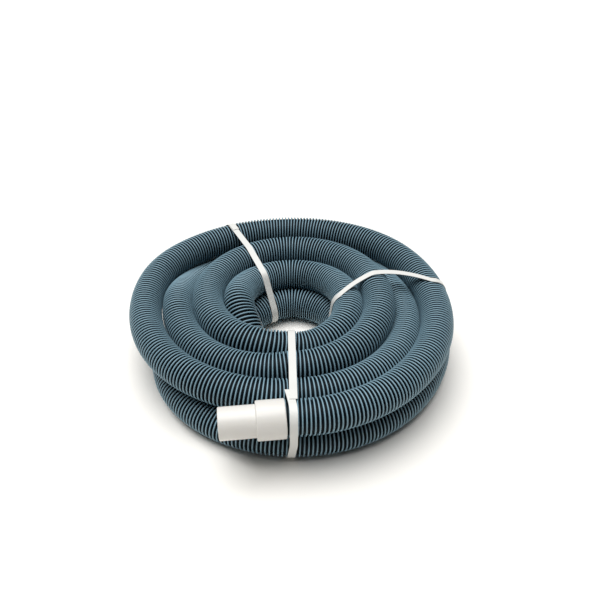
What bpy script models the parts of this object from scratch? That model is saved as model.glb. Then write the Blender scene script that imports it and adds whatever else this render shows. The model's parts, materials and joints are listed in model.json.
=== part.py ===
"""A pool vacuum hose, wound into a flat two-layer coil and held by three strap ties.

The coil lies on its ties, with the centre of its box over the origin. The hose is one piece. It starts in
the swivel cuff at the front of the top layer, winds inwards, drops into the bottom layer and ends in the
fixed cuff. All lengths are in metres.
"""

import math

import bmesh
import bpy
import numpy as np
from mathutils import Matrix, Vector

# Hose
HOSE_BORE = 0.0380
HOSE_WALL = 0.0035  # from the bore to the middle of the ribs' height
HOSE_OUTER = HOSE_BORE + 2 * HOSE_WALL
HOSE_SIDES_RESOLUTION = 3
TURN_GAP = 0.0020  # free space between two turns

# Coil
COIL_RADIUS = 0.2160  # centreline of the outermost turn
RINGS_PER_TURN = 36
FIRST_AZIMUTH = 270.0
SETTLE_PASSES = 900

# Cuffs
CUFF_BORE = 0.0383
NOZZLE_WALL = 0.00195
NOZZLE_OUTER = CUFF_BORE + 2 * NOZZLE_WALL
NOZZLE_LENGTH = 0.0465
FLANGE_LIP = 0.0019  # how far the nozzle's flange stands out, with its clearance
CHAMBER_BORE = NOZZLE_OUTER + 2 * FLANGE_LIP
SOCKET_CLEARANCE = 0.0004  # between the hose and the collar around it
COLLAR_WALL = 0.0024
COLLAR_OUTER = max(CHAMBER_BORE, HOSE_OUTER + 2 * SOCKET_CLEARANCE) + 2 * COLLAR_WALL
COLLAR_LENGTH = 0.0370
SHOULDER = 0.0024  # the wall that stops the hose
EDGE_BREAK = 0.0012
CUFF_SIDES = 48

# Swivel
RUNNING_CLEARANCE = 0.0003
SEAL_THICKNESS = 0.0020
FLANGE_THICKNESS = 0.0025
WASHER_THICKNESS = 0.0010
RING_THICKNESS = 0.0022
RING_GROOVE = 0.0010
RING_INSET = 0.0008

# Straps
STRAP_WIDTH = 0.0100
STRAP_THICKNESS = 0.0008
STRAP_CLEARANCE = 0.0007  # the hose lies this far off the inside of a strap
STRAP_OVERLAP = 0.0180
CIRCLE_POINTS = 20
RINGS_PER_SEGMENT = 6
SHORTEST_EDGE = 0.0020
LONGEST_EDGE = 0.0080

PITCH = HOSE_OUTER + TURN_GAP
FLOOR_LEVEL = STRAP_THICKNESS + STRAP_CLEARANCE + HOSE_OUTER / 2
STEP = 360.0 / RINGS_PER_TURN
BOW_REACH = 1.5 * PITCH  # a strap that bows sideways does so between the outermost and the innermost lane
MIDDLE_RADIUS = COIL_RADIUS - BOW_REACH  # where on its way out a strap's azimuth is taken

# How the hose is wound: azimuth from the start, lanes in from the outermost turn, and levels up from the
# bottom layer, both counted in turn pitches.
WINDING = (
    (270, -0.05, 1.15),
    (315, 0.05, 1.15),
    (350, 0.13, 1.15),
    (405, 0.03, 1.15),
    (450, 0.05, 1.15),
    (540, -0.03, 1.10),
    (570, 0.20, 1.10),
    (600, 0.70, 1.05),
    (630, 1.00, 1.00),
    (675, 1.00, 0.90),
    (720, 0.96, 0.75),
    (750, 0.90, 0.70),
    (765, 0.70, 0.60),
    (780, 0.35, 0.30),
    (795, 0.15, 0.05),
    (840, 0.15, 0.05),
    (855, 0.40, 0.25),
    (870, 0.70, 0.50),
    (890, 0.95, 0.75),
    (945, 1.50, 0.95),
    (990, 2.00, 1.00),
    (1035, 1.95, 1.10),
    (1080, 1.80, 1.25),
    (1110, 1.70, 1.25),
    (1150, 1.20, 1.10),
    (1170, 1.05, 1.05),
    (1215, 1.50, 1.10),
    (1260, 2.15, 1.15),
    (1305, 2.70, 1.00),
    (1350, 3.00, 0.80),
    (1395, 2.90, 0.85),
    (1440, 2.75, 0.95),
    (1470, 2.60, 0.90),
    (1500, 2.20, 0.70),
    (1530, 2.00, 0.65),
    (1590, 2.60, 0.75),
    (1620, 2.90, 0.70),
    (1650, 3.00, 0.50),
    (1680, 2.80, 0.15),
    (1710, 2.30, 0.00),
    (1755, 2.60, 0.00),
    (1800, 2.80, 0.00),
    (1890, 2.75, 0.00),
    (1935, 3.00, 0.00),
    (1980, 2.90, 0.00),
    (2025, 2.15, 0.00),
    (2070, 1.30, 0.00),
    (2160, 1.60, 0.00),
    (2250, 1.25, 0.00),
    (2310, 1.65, 0.00),
    (2325, 1.45, 0.00),
    (2345, 0.60, 0.00),
    (2360, 0.20, 0.00),
    (2410, 0.30, 0.00),
    (2470, 0.10, 0.00),
    (2530, 0.05, 0.05),
)
LAST_AZIMUTH = WINDING[-1][0]

# Each cuff lies straight: lane, height over the floor, turn away from the tangent and droop of its axis.
SWIVEL_LANE = -0.05
SWIVEL_HEIGHT = FLOOR_LEVEL + 1.15 * PITCH
SWIVEL_YAW = 6.0
SWIVEL_DROOP = 0.5
SWIVEL_SETBACK = 0.0060  # from the first azimuth to the collar's mouth
FIXED_LANE = 0.05
FIXED_YAW = -5.0

# Each strap lies in an upright plane: azimuth of its middle, turn of the plane, how far it bows sideways, and
# where its overlap lies, as a share of the way round from the inside of the coil over the top.
STRAPS = {
    "front_strap": (271.0, 0.0, 0.0, 0.34),
    "left_strap": (117.0, 0.0, 0.0, 0.42),
    "right_strap": (10.2, -2.3, 0.025, 0.75),
}

WHITE_PLASTIC = (0.86, 0.86, 0.84)
RING_PLASTIC = (0.80, 0.80, 0.78)
HOSE_BLUE = (0.075, 0.130, 0.165)
STRAP_WHITE = (0.80, 0.80, 0.77)
RUBBER_BLACK = (0.020, 0.020, 0.022)
WASHER_NATURAL = (0.72, 0.71, 0.66)


# ---------------------------------------------------------------- route of the hose


def cuff_axis(azimuth, lane, height, yaw, droop, backwards):
    """Start and direction of a cuff's axis at an azimuth; backwards is clockwise, yaw turns it outwards."""
    angle = math.radians(azimuth)
    radius = COIL_RADIUS - lane * PITCH
    start = np.array((radius * math.cos(angle), radius * math.sin(angle), height))
    tangent = np.array((-math.sin(angle), math.cos(angle)))
    outward = np.array((math.cos(angle), math.sin(angle)))
    if backwards:
        tangent = -tangent
    flat = tangent * math.cos(math.radians(yaw)) + outward * math.sin(math.radians(yaw))
    slope = math.radians(droop)
    return start, np.array((*(flat * math.cos(slope)), -math.sin(slope)))


SWIVEL_AXIS = cuff_axis(FIRST_AZIMUTH, SWIVEL_LANE, SWIVEL_HEIGHT, SWIVEL_YAW, SWIVEL_DROOP, True)
FIXED_HEIGHT = STRAP_THICKNESS + STRAP_CLEARANCE + COLLAR_OUTER / 2
FIXED_AXIS = cuff_axis(LAST_AZIMUTH, FIXED_LANE, FIXED_HEIGHT, FIXED_YAW, 0.0, False)


def axis_at(axis, azimuth):
    """Radius, height and distance from the start where an axis passes an azimuth."""
    start, heading = axis
    angle = math.radians(azimuth)
    across = np.array((-math.sin(angle), math.cos(angle)))
    distance = -(start[:2] @ across) / (heading[:2] @ across)
    point = start + distance * heading
    return math.hypot(point[0], point[1]), point[2], distance


def planned_route():
    """Azimuths, radii, heights, half thicknesses and held flags of both cuffs and the hose between them."""
    plan = np.array(WINDING, dtype=float)
    azimuths = np.arange(FIRST_AZIMUTH, LAST_AZIMUTH + STEP / 2, STEP)
    rows = []
    cuff_length = COLLAR_LENGTH + NOZZLE_LENGTH
    steps_in_cuff = range(1, 6)
    for azimuth in (FIRST_AZIMUTH - STEP * count for count in reversed(steps_in_cuff)):
        radius, height, distance = axis_at(SWIVEL_AXIS, azimuth)
        if distance < SWIVEL_SETBACK + cuff_length:
            rows.append((azimuth, radius, height, COLLAR_OUTER / 2, True))
    for azimuth in azimuths:
        lane = np.interp(azimuth, plan[:, 0], plan[:, 1])
        level = np.interp(azimuth, plan[:, 0], plan[:, 2])
        row = (azimuth, COIL_RADIUS - lane * PITCH, FLOOR_LEVEL + level * PITCH, HOSE_OUTER / 2, False)
        for axis, edge in ((SWIVEL_AXIS, FIRST_AZIMUTH), (FIXED_AXIS, LAST_AZIMUTH)):
            if abs(azimuth - edge) < 1.5 * STEP:
                radius, height, _ = axis_at(axis, azimuth)
                thick = COLLAR_OUTER / 2 if abs(azimuth - edge) < STEP / 2 else HOSE_OUTER / 2
                row = (azimuth, radius, height, thick, True)
        rows.append(row)
    for azimuth in (LAST_AZIMUTH + STEP * count for count in steps_in_cuff):
        radius, height, distance = axis_at(FIXED_AXIS, azimuth)
        if distance < cuff_length:
            rows.append((azimuth, radius, height, COLLAR_OUTER / 2, True))
    table = np.array(rows, dtype=float)
    return table[:, 0], table[:, 1], table[:, 2], table[:, 3], table[:, 4] > 0


def settled_route():
    """The planned route after its turns have slid apart until none presses into another or the floor."""
    azimuths, radii, heights, half, held = planned_route()
    free = np.where(held, 0.0, 1.0)
    first_radii = radii.copy()
    first_heights = heights.copy()
    lowest = half + STRAP_THICKNESS + STRAP_CLEARANCE
    count = len(radii)
    for step in range(SETTLE_PASSES):
        ease = max(0.0, 1.0 - 1.3 * step / SETTLE_PASSES)
        radii += free * 0.05 * ease * (first_radii - radii)
        heights += free * 0.05 * ease * (first_heights - heights)
        for line in (radii, heights):
            bend = (line[:-2] + line[2:]) / 2 - line[1:-1]
            line[1:-1] += free[1:-1] * (0.25 * ease + 0.01) * bend
        for turns in range(1, count // RINGS_PER_TURN + 1):
            for offset in (0, -1, 1, -2, 2):
                part_turns(radii, heights, half, free, turns * RINGS_PER_TURN + offset, offset)
        heights[:] = np.where(held, heights, np.maximum(heights, lowest))
    return azimuths, radii, heights


def part_turns(radii, heights, half, free, apart, offset):
    """Moves each pair of rings that are this many rings apart until they clear each other."""
    if apart >= len(radii):
        return
    inner = slice(None, -apart)
    outer = slice(apart, None)
    across = radii[outer] - radii[inner]
    up = heights[outer] - heights[inner]
    chord = 2 * np.sqrt(radii[outer] * radii[inner]) * math.sin(math.radians(abs(offset) * STEP / 2))
    section = np.hypot(across, up) + 1e-9
    short = np.maximum(half[outer] + half[inner] + TURN_GAP - np.hypot(section, chord), 0.0)
    movable = free[outer] + free[inner] + 1e-9
    push = 0.6 * short / section / movable
    radii[outer] += push * free[outer] * across
    heights[outer] += push * free[outer] * up
    radii[inner] -= push * free[inner] * across
    heights[inner] -= push * free[inner] * up


def along(axis, distance):
    """The point of an axis at a distance from its start."""
    return axis[0] + distance * axis[1]


def hose_points(azimuths, radii, heights):
    """The hose's centreline from its end in the swivel collar to its end in the fixed cuff."""
    inside = (azimuths > FIRST_AZIMUTH + STEP / 2) & (azimuths < LAST_AZIMUTH - STEP / 2)
    angles = np.radians(azimuths[inside])
    wound = np.column_stack((
        radii[inside] * np.cos(angles),
        radii[inside] * np.sin(angles),
        heights[inside],
    ))
    start = [along(SWIVEL_AXIS, SWIVEL_SETBACK + SOCKET_DEPTH), along(SWIVEL_AXIS, SWIVEL_SETBACK)]
    end = [along(FIXED_AXIS, 0.0), along(FIXED_AXIS, SOCKET_DEPTH)]
    return np.vstack((start, wound, end))


# Places along a cuff, from the mouth that takes the hose.
RING_END = COLLAR_LENGTH - RING_INSET
RING_START = RING_END - RING_THICKNESS
WASHER_END = RING_START - RUNNING_CLEARANCE
WASHER_START = WASHER_END - WASHER_THICKNESS
FLANGE_END = WASHER_START - RUNNING_CLEARANCE
FLANGE_START = FLANGE_END - FLANGE_THICKNESS
SEAL_END = FLANGE_START - RUNNING_CLEARANCE
SEAL_START = SEAL_END - SEAL_THICKNESS
SHOULDER_END = SEAL_START - RUNNING_CLEARANCE
SHOULDER_START = SHOULDER_END - SHOULDER
SOCKET_DEPTH = SHOULDER_START - SOCKET_CLEARANCE


# ---------------------------------------------------------------- scene building


def clear_scene():
    """Removes every object of the open file."""
    for item in list(bpy.data.objects):
        bpy.data.objects.remove(item, do_unlink=True)


def plastic(name, colour, roughness, metallic=0.0):
    """A Principled material."""
    material = bpy.data.materials.new(name)
    material.use_nodes = True
    shader = material.node_tree.nodes["Principled BSDF"]
    shader.inputs["Base Color"].default_value = (*colour, 1.0)
    shader.inputs["Roughness"].default_value = roughness
    shader.inputs["Metallic"].default_value = metallic
    material.diffuse_color = (*colour, 1.0)
    return material


def add_object(name, data, material, parent=None):
    """Links a new object with its material, under an optional parent."""
    item = bpy.data.objects.new(name, data)
    bpy.context.scene.collection.objects.link(item)
    data.materials.append(material)
    item.parent = parent
    return item


def frame_at(name, point, heading):
    """An empty at a point with its Z axis along a heading."""
    empty = bpy.data.objects.new(name, None)
    bpy.context.scene.collection.objects.link(empty)
    turn = Vector(heading).to_track_quat("Z", "Y")
    empty.matrix_world = Matrix.LocRotScale(Vector(point), turn, None)
    return empty


def turned(name, profile, material, parent, place=0.0):
    """A turned piece: a closed outline of (radius, distance along the axis) spun round the parent's Z axis."""
    shape = bmesh.new()
    corners = [shape.verts.new((radius, 0.0, distance - place)) for radius, distance in profile]
    edges = [shape.edges.new(pair) for pair in zip(corners, corners[1:] + corners[:1])]
    bmesh.ops.spin(
        shape,
        geom=corners + edges,
        cent=(0.0, 0.0, 0.0),
        axis=(0.0, 0.0, 1.0),
        angle=2 * math.pi,
        steps=CUFF_SIDES,
        use_merge=True,
    )
    bmesh.ops.remove_doubles(shape, verts=shape.verts, dist=1e-6)
    bmesh.ops.recalc_face_normals(shape, faces=shape.faces)
    mesh = bpy.data.meshes.new(name)
    shape.to_mesh(mesh)
    shape.free()
    mesh.shade_smooth()
    mesh.set_sharp_from_angle(angle=math.radians(30))
    item = add_object(name, mesh, material, parent)
    item.location = (0.0, 0.0, place)
    return item


def washer_profile(inner, outer, start, end):
    """The outline of a flat ring."""
    return ((inner, start), (outer, start), (outer, end), (inner, end))


# ---------------------------------------------------------------- hose


def build_hose(points, material):
    """The hose wall: an open tube along the centreline, given its thickness and its two end faces."""
    curve = bpy.data.curves.new("hose", "CURVE")
    curve.dimensions = "3D"
    curve.twist_mode = "Z_UP"
    curve.bevel_depth = HOSE_OUTER / 2
    curve.bevel_resolution = HOSE_SIDES_RESOLUTION
    spline = curve.splines.new("POLY")
    spline.points.add(len(points) - 1)
    for knot, point in zip(spline.points, points):
        knot.co = (*point, 1.0)
    hose = add_object("hose", curve, material)
    wall = hose.modifiers.new("wall", "SOLIDIFY")
    wall.thickness = (HOSE_OUTER - HOSE_BORE) / 2
    wall.offset = -1.0
    wall.use_rim = True
    return hose


# ---------------------------------------------------------------- cuffs


def collar_outline():
    """The outside of a collar, from its mouth to the face that the nozzle comes out of."""
    outer = COLLAR_OUTER / 2
    return (
        (outer - EDGE_BREAK, 0.0),
        (outer, EDGE_BREAK),
        (outer, COLLAR_LENGTH - EDGE_BREAK),
        (outer - EDGE_BREAK, COLLAR_LENGTH),
    )


def socket_outline():
    """The inside of a collar from its shoulder back to the mouth that takes the hose."""
    socket = HOSE_OUTER / 2 + SOCKET_CLEARANCE
    bore = CUFF_BORE / 2
    return (
        (bore, SHOULDER_END),
        (bore, SHOULDER_START),
        (socket, SHOULDER_START),
        (socket, 0.0),
    )


def build_swivel_cuff(white, ring_white, rubber, natural):
    """The cuff whose nozzle turns: collar, seal, nozzle, thrust washer and the ring that keeps them in."""
    start = along(SWIVEL_AXIS, SWIVEL_SETBACK)
    end = frame_at("swivel_cuff_axis", start, SWIVEL_AXIS[1])
    chamber = CHAMBER_BORE / 2
    bore = CUFF_BORE / 2
    barrel = NOZZLE_OUTER / 2
    flange = chamber - RUNNING_CLEARANCE
    groove = chamber + RING_GROOVE
    collar = (
        *collar_outline(),
        (chamber, COLLAR_LENGTH),
        (chamber, RING_END + RUNNING_CLEARANCE),
        (groove, RING_END + RUNNING_CLEARANCE),
        (groove, RING_START - RUNNING_CLEARANCE),
        (chamber, RING_START - RUNNING_CLEARANCE),
        (chamber, SHOULDER_END),
        *socket_outline(),
    )
    turned("swivel_collar", collar, white, end)
    tip = COLLAR_LENGTH + NOZZLE_LENGTH
    nozzle = (
        (flange, FLANGE_START),
        (flange, FLANGE_END),
        (barrel, FLANGE_END),
        (barrel, tip - EDGE_BREAK),
        (barrel - EDGE_BREAK / 2, tip),
        (bore + EDGE_BREAK / 2, tip),
        (bore, tip - EDGE_BREAK),
        (bore, FLANGE_START),
    )
    turned("swivel_nozzle", nozzle, white, end, FLANGE_START)
    seal = washer_profile(bore + RUNNING_CLEARANCE, flange, SEAL_START, SEAL_END)
    turned("nozzle_seal", seal, rubber, end)
    hole = barrel + RUNNING_CLEARANCE
    washer = washer_profile(hole, flange, WASHER_START, WASHER_END)
    turned("thrust_washer", washer, natural, end)
    ring = washer_profile(hole, groove - RUNNING_CLEARANCE, RING_START, RING_END)
    turned("retaining_ring", ring, ring_white, end)


def build_fixed_cuff(white):
    """The cuff at the other end, one moulding with the same outline."""
    end = frame_at("fixed_cuff_axis", along(FIXED_AXIS, 0.0), FIXED_AXIS[1])
    bore = CUFF_BORE / 2
    barrel = NOZZLE_OUTER / 2
    tip = COLLAR_LENGTH + NOZZLE_LENGTH
    profile = (
        *collar_outline(),
        (barrel, COLLAR_LENGTH),
        (barrel, tip - EDGE_BREAK),
        (barrel - EDGE_BREAK / 2, tip),
        (bore + EDGE_BREAK / 2, tip),
        (bore, tip - EDGE_BREAK),
        *socket_outline()[1:],
    )
    turned("fixed_cuff", profile, white, end)


# ---------------------------------------------------------------- straps


def strap_plane(azimuth, turn, bow):
    """A point, the outward direction, the across direction and the bow of a strap's upright plane."""
    angle = math.radians(azimuth)
    tilt = math.radians(azimuth + turn)
    anchor = MIDDLE_RADIUS * np.array((math.cos(angle), math.sin(angle)))
    out = np.array((math.cos(tilt), math.sin(tilt)))
    return anchor, out, np.array((-out[1], out[0])), bow


def bow_at(places, bow):
    """How far the middle line of a strap lies aside of its plane at some distances out."""
    return bow * np.maximum(0.0, 1.0 - (places / BOW_REACH) ** 2)


def ring_round(run, radius):
    """Offsets of the corners of a ring that encloses a bar of this radius and direction."""
    level = np.cross(run, (0.0, 0.0, 1.0))
    level /= np.linalg.norm(level)
    upward = np.cross(level, run)
    upward /= np.linalg.norm(upward)
    reach = radius / math.cos(math.pi / CIRCLE_POINTS)
    angles = 2 * math.pi * (np.arange(CIRCLE_POINTS) + 0.5) / CIRCLE_POINTS
    return reach * (np.outer(np.cos(angles), level) + np.outer(np.sin(angles), upward))


def inside_strap(points, plane):
    """Distances out and heights of the surfaces of the hose and the fixed collar that a strap passes over."""
    anchor, out, across, bow = plane
    route = np.vstack((points, along(FIXED_AXIS, COLLAR_LENGTH)))
    found = []
    for index, (start, stop) in enumerate(zip(route[:-1], route[1:])):
        radius = (HOSE_OUTER if index < len(route) - 3 else COLLAR_OUTER) / 2 + STRAP_CLEARANCE
        ring = start + ring_round(stop - start, radius)
        for share in np.linspace(0.0, 1.0, RINGS_PER_SEGMENT):
            spots = ring + share * (stop - start)
            places = (spots[:, :2] - anchor) @ out
            sides = (spots[:, :2] - anchor) @ across - bow_at(places, bow)
            near = (abs(sides) < STRAP_WIDTH / 2 + STRAP_CLEARANCE) & (abs(places) < MIDDLE_RADIUS)
            found.extend(zip(places[near], np.maximum(spots[near, 2], STRAP_THICKNESS)))
    return found


def outer_hull(places):
    """The convex outline of some points, counterclockwise from the lowest of the leftmost."""
    ordered = sorted(set(places))
    halves = []
    for run in (ordered, ordered[::-1]):
        chain = []
        for place in run:
            while len(chain) > 1 and turn_of(chain[-2], chain[-1], place) <= 0:
                chain.pop()
            chain.append(place)
        halves.append(chain[:-1])
    return np.array(halves[0] + halves[1])


def turn_of(first, second, third):
    """Positive where three points turn to the left."""
    ahead = (second[0] - first[0]) * (third[1] - first[1])
    return ahead - (second[1] - first[1]) * (third[0] - first[0])


def tight_outline(points, plane):
    """The line that a taut strap takes round everything inside it."""
    outline = []
    for place in outer_hull([(round(out, 6), round(height, 6)) for out, height in inside_strap(points, plane)]):
        if not outline or np.linalg.norm(place - outline[-1]) > SHORTEST_EDGE:
            outline.append(place)
    return np.array(outline)


def outline_offset(outline, thickness):
    """Outward offset of a convex outline, point by point."""
    before = outline - np.roll(outline, 1, axis=0)
    after = np.roll(outline, -1, axis=0) - outline
    normals = []
    for run in (before, after):
        normal = np.column_stack((run[:, 1], -run[:, 0]))
        normals.append(normal / np.linalg.norm(normal, axis=1)[:, None])
    middle = normals[0] + normals[1]
    middle /= np.linalg.norm(middle, axis=1)[:, None]
    reach = thickness / np.maximum((middle * normals[0]).sum(axis=1), 0.5)
    return outline + middle * reach[:, None]


def with_overlap(outline, share):
    """The outline again, as (point, layers) rows, with extra rows where the strap's two ends overlap."""
    closed = np.vstack((outline, outline[:1]))
    lengths = np.concatenate(((0.0,), np.cumsum(np.linalg.norm(np.diff(closed, axis=0), axis=1))))
    total = lengths[-1]
    inner_end = lengths[np.argmin(outline[:, 0])]
    start = (inner_end - share * total) % total
    stop = start + STRAP_OVERLAP
    between = [
        mark
        for first, last in zip(lengths[:-1], lengths[1:])
        for mark in np.linspace(first, last, math.ceil((last - first) / LONGEST_EDGE), endpoint=False)
    ]
    marks = sorted({*between, start % total, stop % total})
    rows = []
    for mark in marks:
        point = [np.interp(mark, lengths, closed[:, axis]) for axis in (0, 1)]
        doubled = start - 1e-9 <= mark <= stop + 1e-9 or mark + total <= stop + 1e-9
        rows.append((point[0], point[1], 2.0 if doubled else 1.0))
    return np.array(rows)


def build_strap(name, points, material):
    """One strap: a flat band pulled tight round the turns, with its ends laid over each other and welded."""
    *lie, share = STRAPS[name]
    plane = strap_plane(*lie)
    rows = with_overlap(tight_outline(points, plane), share)
    anchor, out, across, bow = plane
    inner = rows[:, :2]
    outer = outline_offset(inner, STRAP_THICKNESS)
    layers = rows[:, 2:3]
    outer = inner + (outer - inner) * layers
    outer[:, 1] = np.maximum(outer[:, 1], 0.0)
    shape = bmesh.new()
    loops = []
    for side in (-0.5, 0.5):
        for line in (inner, outer):
            loop = []
            for place, height in line:
                aside = side * STRAP_WIDTH + bow_at(place, bow)
                loop.append(shape.verts.new((*(anchor + place * out + aside * across), height)))
            loops.append(loop)
    left_inner, left_outer, right_inner, right_outer = loops
    count = len(inner)
    for index in range(count):
        after = (index + 1) % count
        for first, second in (
            (left_inner, left_outer),
            (left_outer, right_outer),
            (right_outer, right_inner),
            (right_inner, left_inner),
        ):
            shape.faces.new((first[index], first[after], second[after], second[index]))
    bmesh.ops.recalc_face_normals(shape, faces=shape.faces)
    mesh = bpy.data.meshes.new(name)
    shape.to_mesh(mesh)
    shape.free()
    mesh.shade_smooth()
    mesh.set_sharp_from_angle(angle=math.radians(30))
    return add_object(name, mesh, material)


def centre_over_origin():
    """Moves everything so that the bottom centre of the whole box is the origin."""
    bpy.context.view_layer.update()
    graph = bpy.context.evaluated_depsgraph_get()
    corners = []
    for item in bpy.context.scene.objects:
        if item.type != "EMPTY":
            shape = item.evaluated_get(graph)
            corners += [item.matrix_world @ vertex.co for vertex in shape.to_mesh().vertices]
            shape.to_mesh_clear()
    places = np.array(corners)
    low = places.min(axis=0)
    high = places.max(axis=0)
    offset = Vector(((low[0] + high[0]) / 2, (low[1] + high[1]) / 2, low[2]))
    for item in bpy.context.scene.objects:
        if item.parent is None:
            item.location -= offset


def main():
    """Builds the whole hose."""
    clear_scene()
    points = hose_points(*settled_route())
    white = plastic("cuff_white", WHITE_PLASTIC, 0.35)
    strap_white = plastic("strap_white", STRAP_WHITE, 0.50)
    build_hose(points, plastic("hose_blue", HOSE_BLUE, 0.45))
    build_swivel_cuff(
        white,
        plastic("ring_white", RING_PLASTIC, 0.40),
        plastic("rubber_black", RUBBER_BLACK, 0.80),
        plastic("washer_natural", WASHER_NATURAL, 0.45),
    )
    build_fixed_cuff(white)
    for name in STRAPS:
        build_strap(name, points, strap_white)
    centre_over_origin()


main()
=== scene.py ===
"""The look of a wound pool vacuum hose: its ribbed wall, its two cuffs and its three strap ties.

Everything is in metres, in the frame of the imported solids. The hose follows the same winding as its solid:
it starts in the swivel cuff at the front of the top layer, winds inwards, drops into the bottom layer and
ends in the fixed cuff.
"""

from __future__ import annotations

import json
import logging
import math
from collections.abc import Sequence
from dataclasses import dataclass, field
from enum import Enum

import bmesh
import bpy
import numpy as np
from mathutils import Matrix, Vector

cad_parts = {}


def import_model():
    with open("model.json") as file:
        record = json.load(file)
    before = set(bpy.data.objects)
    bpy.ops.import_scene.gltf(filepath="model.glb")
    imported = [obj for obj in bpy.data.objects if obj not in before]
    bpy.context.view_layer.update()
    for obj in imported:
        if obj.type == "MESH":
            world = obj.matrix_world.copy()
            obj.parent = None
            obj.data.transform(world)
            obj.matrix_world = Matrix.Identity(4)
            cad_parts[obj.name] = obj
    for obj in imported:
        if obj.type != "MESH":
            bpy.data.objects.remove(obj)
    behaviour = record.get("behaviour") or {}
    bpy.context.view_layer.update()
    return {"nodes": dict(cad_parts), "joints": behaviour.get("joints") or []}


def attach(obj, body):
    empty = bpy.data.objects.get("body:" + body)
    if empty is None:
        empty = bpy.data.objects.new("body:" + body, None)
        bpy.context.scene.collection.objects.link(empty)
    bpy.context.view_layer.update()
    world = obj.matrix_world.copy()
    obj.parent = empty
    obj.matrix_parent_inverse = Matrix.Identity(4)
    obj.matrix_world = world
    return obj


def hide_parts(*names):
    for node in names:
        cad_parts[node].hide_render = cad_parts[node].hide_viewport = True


LOG = logging.getLogger("hose")
BODY = "coil"
SPINNING_BODY = "swivel_nozzle"
Colour = tuple[float, float, float]


# ---------------------------------------------------------------- sizes shared by the pieces


@dataclass(frozen=True)
class HoseSize:
    """Sizes of the hose and of the turns that it lies in."""

    outer: float = 0.0450
    crest: float = 0.0477
    groove: float = 0.0416
    bore: float = 0.0380
    gap: float = 0.0020
    rib_pitch: float = 0.0051
    coil_radius: float = 0.2160
    rings_per_turn: int = 36
    first_azimuth: float = 270.0
    settle_passes: int = 900

    @property
    def pitch(self) -> float:
        """Distance between the centres of two turns that touch."""
        return self.outer + self.gap

    @property
    def step(self) -> float:
        """Angle between two rings, in degrees."""
        return 360.0 / self.rings_per_turn


@dataclass(frozen=True)
class CuffSize:
    """Sizes that both cuffs share, along their axis from the mouth that takes the hose."""

    collar_outer: float = 0.0508
    collar_length: float = 0.0370
    nozzle_outer: float = 0.0422
    nozzle_length: float = 0.0465
    bore: float = 0.0383
    socket_clearance: float = 0.0004
    shoulder: float = 0.0024
    chamber: float = 0.0460
    running: float = 0.0003
    seal: float = 0.0020
    flange: float = 0.0025
    washer: float = 0.0010
    ring: float = 0.0022
    ring_groove: float = 0.0010
    ring_inset: float = 0.0008
    tip_rounding: float = 0.0012
    lip_rounding: float = 0.0009
    socket_rounding: float = 0.0004
    edge_rounding: float = 0.0003

    @property
    def ring_end(self) -> float:
        """Outer face of the retaining ring."""
        return self.collar_length - self.ring_inset

    @property
    def ring_start(self) -> float:
        """Inner face of the retaining ring."""
        return self.ring_end - self.ring

    @property
    def flange_end(self) -> float:
        """The nozzle flange's face against the thrust washer."""
        return self.ring_start - self.running - self.washer - self.running

    @property
    def flange_start(self) -> float:
        """The nozzle flange's face against the seal."""
        return self.flange_end - self.flange

    @property
    def shoulder_end(self) -> float:
        """The shoulder's face against the seal."""
        return self.flange_start - self.running - self.seal - self.running

    @property
    def shoulder_start(self) -> float:
        """The shoulder's face against the hose."""
        return self.shoulder_end - self.shoulder

    @property
    def socket_depth(self) -> float:
        """How far the hose goes into a collar."""
        return self.shoulder_start - self.socket_clearance


@dataclass(frozen=True)
class StrapSize:
    """Section of a strap tie, the room that it leaves and the lap of its ends.

    Attributes:
        standoff: Air between a band and what it passes over.
        longest_edge: Longest stretch of a band without a corner.
        tangent_step: Distance to either side over which a band's direction is taken.
        lap_lift: How far the upper end stands off the lower one, in thicknesses.
        lap_ramp: Length over which the upper end climbs onto the lower one.
        skew_length: Length over which the last end slips sideways.
        skew_power: How late in that length the slip sets in.
        foot_height: Height under which a band's foot slips sideways.
    """

    width: float = 0.0100
    thickness: float = 0.0008
    clearance: float = 0.0007
    overlap: float = 0.0180
    lanes_to_middle: float = 1.5
    standoff: float = 0.0002
    longest_edge: float = 0.0040
    tangent_step: float = 0.0020
    lap_lift: float = 1.15
    lap_ramp: float = 0.0080
    skew_length: float = 0.0400
    skew_power: float = 1.5
    foot_height: float = 0.0450

    @property
    def bed(self) -> float:
        """Height over the floor at which the turns lie on the straps."""
        return self.thickness + self.clearance

    @property
    def reach(self) -> float:
        """Distance from the outermost lane to the middle of a strap."""
        return self.lanes_to_middle * HOSE.pitch

    @property
    def middle_radius(self) -> float:
        """Distance from the coil's centre at which a strap's azimuth is taken."""
        return HOSE.coil_radius - self.reach


HOSE = HoseSize()
CUFF = CuffSize()
STRAP = StrapSize()


# ---------------------------------------------------------------- how the hose is wound


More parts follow.
